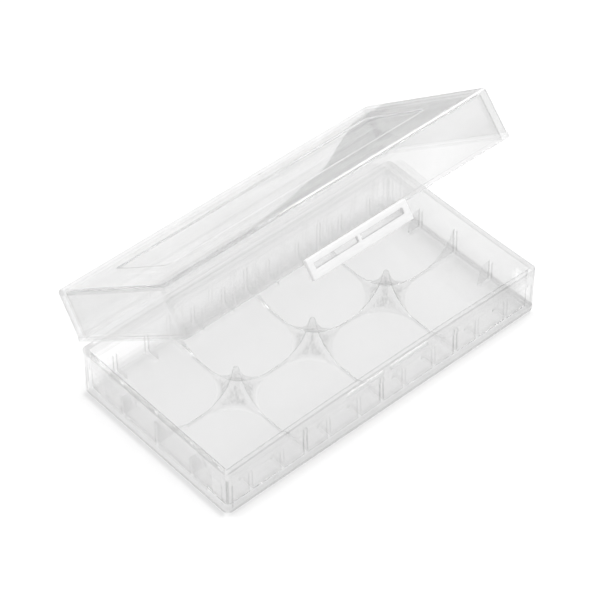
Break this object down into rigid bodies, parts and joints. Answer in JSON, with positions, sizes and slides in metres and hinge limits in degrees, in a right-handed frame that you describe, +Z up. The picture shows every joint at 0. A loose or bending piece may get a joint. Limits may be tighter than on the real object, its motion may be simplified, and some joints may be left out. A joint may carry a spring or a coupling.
{
  "type": "battery case",
  "caption": "Clear flat snap-lid case for round cells in two rows, with star-shaped dividing posts, wall ribs and fins, a moulded hinge and a slotted latch tongue.",
  "frame": {"origin": "centre of the tray's underside", "axes": "+X along the case, +Y to the hinge at the back, +Z up; the rest pose is the picture's, with the lid part open"},
  "size_m": [0.0764, 0.0467, 0.0449],
  "materials": {
    "clear_polypropylene": "clear, very slightly milky, smooth",
    "frosted_polypropylene": "the same plastic with a fine matt texture"
  },
  "bodies": {
    "tray": {"tray": "clear_polypropylene", "hinge_web": "clear_polypropylene"},
    "lid": {"lid": "clear_polypropylene"},
    "latch_tongue": {"latch_tongue": "frosted_polypropylene"}
  },
  "joints": [
    {"name": "lid_hinge", "type": "hinge", "parent": "tray", "child": "lid", "pos_m": [0, 0.02225, 0.01115], "axis": [-1, 0, 0], "range_deg": [-38.5, 141.5], "stiffness_Nm_per_rad": 0.02, "springref_deg": 2.06, "deforming": ["hinge_web"]},
    {"name": "latch_flex", "type": "hinge", "parent": "lid", "child": "latch_tongue", "pos_m": [0, -0.0109, 0.0379], "axis": [-1, 0, 0], "range_deg": [0, 10], "stiffness_Nm_per_rad": 0.02}
  ]
}
